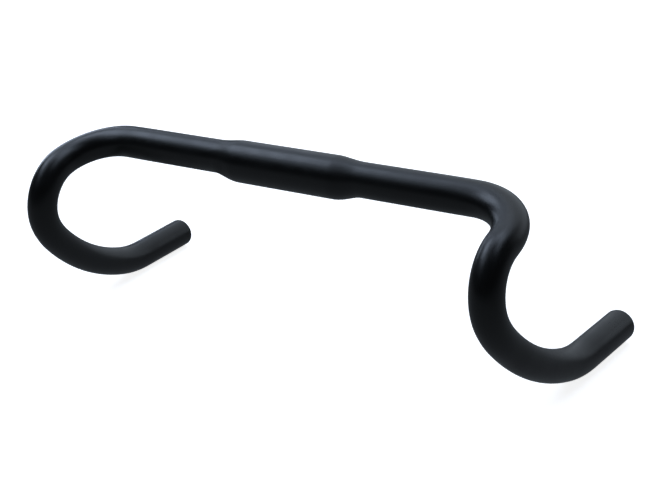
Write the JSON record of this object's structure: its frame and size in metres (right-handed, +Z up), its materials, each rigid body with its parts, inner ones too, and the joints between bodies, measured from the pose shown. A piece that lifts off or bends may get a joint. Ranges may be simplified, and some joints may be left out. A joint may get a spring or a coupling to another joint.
{
  "type": "drop handlebar",
  "caption": "One-piece bent tube drop handlebar for a road bicycle: wider clamp zone in the middle, round tops, compact curved drops flaring slightly outwards, with push-in end plugs.",
  "frame": {"origin": "middle of the stem clamp zone, on its axis", "axes": "+X along the clamp zone towards the rider's left, -Y forwards, the way the hooks point, +Z up, with the bar turned about X so that its straight drop ends are level"},
  "size_m": [0.4476, 0.1864, 0.1521],
  "materials": {
    "bar": "matte black, fine sand-blasted and anodised",
    "plug": "matte moulded, finely textured cap"
  },
  "bodies": {
    "bar": {"handlebar_tube": "bar"},
    "left_plug": {"end_plug_left": "plug"},
    "right_plug": {"end_plug_right": "plug"}
  },
  "joints": [
    {"name": "left_plug_pull", "type": "slide", "parent": "bar", "child": "left_plug", "axis": [0.0537, 0.9986, 0], "range_m": [0, 0.03]},
    {"name": "right_plug_pull", "type": "slide", "parent": "bar", "child": "right_plug", "axis": [-0.0537, 0.9986, 0], "range_m": [0, 0.03]}
  ]
}
